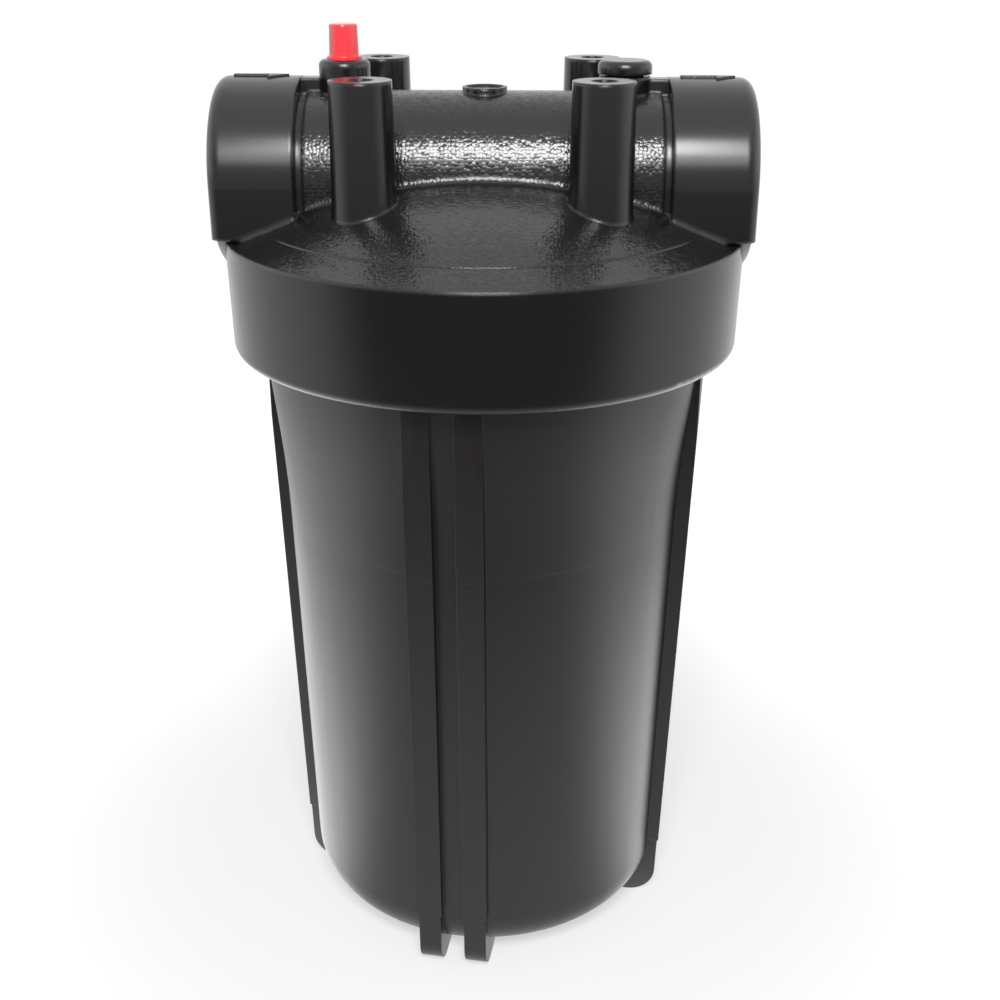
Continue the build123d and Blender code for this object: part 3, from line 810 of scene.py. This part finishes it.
class FilterArrows(bpy.types.Operator):
    """Raise a plain flow arrow on the top of each port collar"""

    bl_idname = "canister_filter.arrows"
    bl_label = "Flow arrows"

    def execute(self, context):
        settings = context.scene.filter_head
        plastic = bpy.data.materials["glossy_black_plastic"]
        length, rise, radius = settings.arrow_length, settings.arrow_height, settings.collar_radius
        half = length / 2
        neck = half - ARROW_HEAD_LENGTH
        outline = (
            (-half, -ARROW_SHAFT), (neck, -ARROW_SHAFT), (neck, -ARROW_HEAD), (half, 0.0),
            (neck, ARROW_HEAD), (neck, ARROW_SHAFT), (-half, ARROW_SHAFT),
        )
        for name, sign in (("inlet", -1), ("outlet", 1)):
            middle = sign * (settings.collar_start + ARROW_FROM_COLLAR)
            mesh = bmesh.new()
            low, high = [], []
            for x, y in outline:
                for ring, lift in ((low, -ARROW_FLOOR), (high, rise)):
                    top = math.sqrt(radius * radius - y * y) + lift
                    ring.append(mesh.verts.new((middle + x, y, settings.port_height + top)))
            mesh.faces.new(high)
            mesh.faces.new(low[::-1])
            count = len(outline)
            for i in range(count):
                j = (i + 1) % count
                mesh.faces.new((low[i], low[j], high[j], high[i]))
            data = bpy.data.meshes.new(f"{name}_arrow")
            mesh.to_mesh(data)
            mesh.free()
            data.materials.append(plastic)
            arrow = bpy.data.objects.new(f"{name}_arrow", data)
            context.scene.collection.objects.link(arrow)
            soften(arrow, ARROW_ROUNDING)
            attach(arrow, "head")
        return {"FINISHED"}


class FilterValve(bpy.types.Operator):
    """Finish the relief button, its spring and screw, and all the round rubber rings"""

    bl_idname = "canister_filter.valve"
    bl_label = "Relief valve and rings"

    def execute(self, context):
        settings = context.scene.filter_valve
        finish_node("relief_button", button_moulding("glossy_red_plastic", settings))
        steel = drawn_steel("drawn_steel", settings.steel_colour)
        for node in ("relief_washer", "relief_screw"):
            finish_node(node, steel)
        # The spring is a piece of its own with a mesh of its own; the real spring shortens as the
        # button goes down.
        solid = frame["nodes"]["relief_spring"].data
        vertices = [vertex.co.copy() for vertex in solid.vertices]
        faces = [tuple(face.vertices) for face in solid.polygons]
        spring = new_piece("relief_coil", vertices, faces, steel, "head", "steel")
        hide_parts("relief_spring")
        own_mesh(spring)
        black = rubber("black_rubber", settings.rubber_colour)
        for node in ("main_oring", "plug_oring", "relief_oring"):
            finish_node(node, black)
        return {"FINISHED"}


class FilterCartridge(bpy.types.Operator):
    """Finish the pleated cartridge, its core, end caps and gaskets"""

    bl_idname = "canister_filter.cartridge"
    bl_label = "Cartridge"

    def execute(self, context):
        settings = context.scene.filter_cartridge
        finish_node("filter_media", pleated_cloth("pleated_media", settings))
        white = pale_moulding("white_plastic", settings.cap_colour)
        for node in ("cartridge_core", "top_end_cap", "bottom_end_cap"):
            finish_node(node, white)
        soft = rubber("white_rubber", settings.gasket_colour)
        for node in ("top_gasket", "bottom_gasket"):
            finish_node(node, soft)
        return {"FINISHED"}


class FilterStage(bpy.types.Operator):
    """Set up the pale floor, the soft lamps, the surroundings and the camera"""

    bl_idname = "canister_filter.stage"
    bl_label = "Stage"

    def execute(self, context):
        settings = context.scene.filter_stage
        scene = context.scene
        scene.view_settings.view_transform = "Standard"
        self.floor(scene, settings)
        self.surroundings(scene, settings)
        self.lamps(scene, settings)
        self.camera(scene, settings)
        return {"FINISHED"}

    def floor(self, scene, settings):
        """A floor that glows white to the eye, keeps the shadow, and is mirrored in bands."""
        half = settings.floor_size
        mesh = bpy.data.meshes.new("floor")
        corners = [(-half, -half, 0), (half, -half, 0), (half, half, 0), (-half, half, 0)]
        mesh.from_pydata(corners, [], [(0, 1, 2, 3)])
        floor = bpy.data.objects.new("floor", mesh)
        scene.collection.objects.link(floor)
        floor.location = (0, 0, -FLOOR_CLEARANCE)
        material, s = new_finish("pale_floor")
        x, y, z = s.parts_of(s.place())
        rays = s.node("ShaderNodeLightPath", {}, {})
        forward = 0 - y
        from_middle = s.length_of(x, y)
        # The glow is weaker close to the feet, where the paint adds the lamps' light and the shadow.
        near = from_middle.ramp(0.10, 0.40, 0.55, 1.0)
        seen = rays["Is Camera Ray"].largest(rays["Is Transmission Ray"])
        # The mirrored floor is dark in front, a way off, and bright at both sides.
        ahead = forward / from_middle.largest(0.02)
        beside = ahead.ramp(0.08, 0.75, 1.0, 0.0)
        before = forward.ramp(0.10, 0.62, 1.0, 0.08) + from_middle.ramp(1.4, 2.2, 0.0, 0.55)
        bright = from_middle.ramp(0.15, 0.6, 2.75, 1.1)
        mirrored = rays["Is Glossy Ray"] * (before * (1 - beside) + beside * bright)
        strength = seen * near + mirrored
        glow = s.node("ShaderNodeEmission", {}, {"Color": WHITE, "Strength": strength})[0]
        paint_share = 1 - rays["Is Glossy Ray"] * FLOOR_PAINT_IN_MIRROR
        tone = s.mix_colours(from_middle.ramp(0.25, 0.9), FLOOR_NEAR_TONE, FLOOR_FAR_TONE)
        matt = s.node("ShaderNodeBsdfDiffuse", {}, {"Color": tone})[0]
        dark = s.node("ShaderNodeBsdfDiffuse", {}, {"Color": BLACK})[0]
        paint = s.node("ShaderNodeMixShader", {}, {0: paint_share, 1: dark, 2: matt})[0]
        both = s.node("ShaderNodeAddShader", {}, {0: paint, 1: glow})[0]
        s.node("ShaderNodeOutputMaterial", {}, {"Surface": both})
        mesh.materials.append(material)

    def surroundings(self, scene, settings):
        """A room that is white to the eye, even in its light, and mirrored brighter at the sides."""
        world = bpy.data.worlds.new("white_room")
        world.use_nodes = True
        scene.world = world
        s = Shader(world.node_tree)
        x, y, z = s.parts_of(s.node("ShaderNodeTexCoord", {}, {})["Generated"])
        rays = s.node("ShaderNodeLightPath", {}, {})
        across = s.length_of(x, y).largest(0.001)
        ahead = ((0 - y) / across).ramp(0.15, 0.80)
        behind = (y / across).ramp(0.2, 0.8)
        overhead = z.ramp(0.35, 0.65)
        elsewhere = ROOM_BESIDE - behind * (ROOM_BESIDE - ROOM_BEHIND)
        round_about = ahead * ROOM_AHEAD + (1 - ahead) * elsewhere
        mirrored = round_about * (1 - overhead) + overhead * ROOM_OVERHEAD
        glossy = rays["Is Glossy Ray"]
        seen = rays["Is Camera Ray"].largest(rays["Is Transmission Ray"])
        light = glossy * mirrored + (1 - glossy) * settings.world_strength
        level = seen + (1 - seen) * light
        back = s.node("ShaderNodeBackground", {}, {"Color": WHITE, "Strength": level})[0]
        s.node("ShaderNodeOutputWorld", {}, {"Surface": back})

    def lamps(self, scene, settings):
        target = Vector(settings.target)
        for name, spot, (width, height), power in SOFTBOXES:
            data = bpy.data.lights.new(name, "AREA")
            data.shape = "RECTANGLE"
            data.size, data.size_y = width, height
            data.energy = getattr(settings, power)
            lamp = bpy.data.objects.new(name, data)
            lamp.location = spot
            lamp.rotation_mode = "QUATERNION"
            lamp.rotation_quaternion = (target - Vector(spot)).to_track_quat("-Z", "Y")
            scene.collection.objects.link(lamp)

    def camera(self, scene, settings):
        data = bpy.data.cameras.new("camera")
        camera = bpy.data.objects.new("camera", data)
        scene.collection.objects.link(camera)
        a, e, r = settings.azimuth, settings.elevation, settings.roll
        back = Vector((math.sin(a) * math.cos(e), -math.cos(a) * math.cos(e), math.sin(e)))
        right = Vector((math.cos(a), math.sin(a), 0.0))
        up = back.cross(right)
        turned_right = right * math.cos(r) + up * math.sin(r)
        turned_up = up * math.cos(r) - right * math.sin(r)
        pose = Matrix((turned_right, turned_up, back)).transposed().to_4x4()
        pose.translation = Vector(settings.target) + back * settings.distance
        camera.matrix_world = pose
        data.sensor_width = 36.0
        data.lens = settings.lens
        data.shift_x, data.shift_y = settings.shift
        data.clip_start, data.clip_end = 0.01, 60.0
        scene.camera = camera


class FilterPanel(bpy.types.Panel):
    """Lists the sizes, the colours and the pieces"""

    bl_idname = "VIEW3D_PT_canister_filter"
    bl_label = "Canister Filter"
    bl_space_type = "VIEW_3D"
    bl_region_type = "UI"
    bl_category = "Canister Filter"

    def draw(self, context):
        for title, group in SETTINGS:
            box = self.layout.box()
            box.label(text=title)
            values = getattr(context.scene, group)
            for name in values.__annotations__:
                box.prop(values, name)
        for operator in PIECES:
            self.layout.operator(operator.bl_idname)


SETTINGS = (
    ("Sump", "filter_sump"),
    ("Head", "filter_head"),
    ("Valve", "filter_valve"),
    ("Cartridge", "filter_cartridge"),
    ("Stage", "filter_stage"),
)
GROUPS = (SumpSettings, HeadSettings, ValveSettings, CartridgeSettings, StageSettings)
PIECES = (FilterSump, FilterHead, FilterPorts, FilterArrows, FilterValve, FilterCartridge, FilterStage)
CLASSES = (*GROUPS, *PIECES, FilterPanel)


def register():
    for made in CLASSES:
        bpy.utils.register_class(made)
    for group, (title, name) in zip(GROUPS, SETTINGS):
        setattr(bpy.types.Scene, name, PointerProperty(type=group))


def unregister():
    for title, name in SETTINGS:
        delattr(bpy.types.Scene, name)
    for made in reversed(CLASSES):
        bpy.utils.unregister_class(made)


def main():
    register()
    bpy.ops.canister_filter.sump()
    bpy.ops.canister_filter.head()
    bpy.ops.canister_filter.ports()
    bpy.ops.canister_filter.arrows()
    bpy.ops.canister_filter.valve()
    bpy.ops.canister_filter.cartridge()
    bpy.ops.canister_filter.stage()


if __name__ == "__main__":
    main()
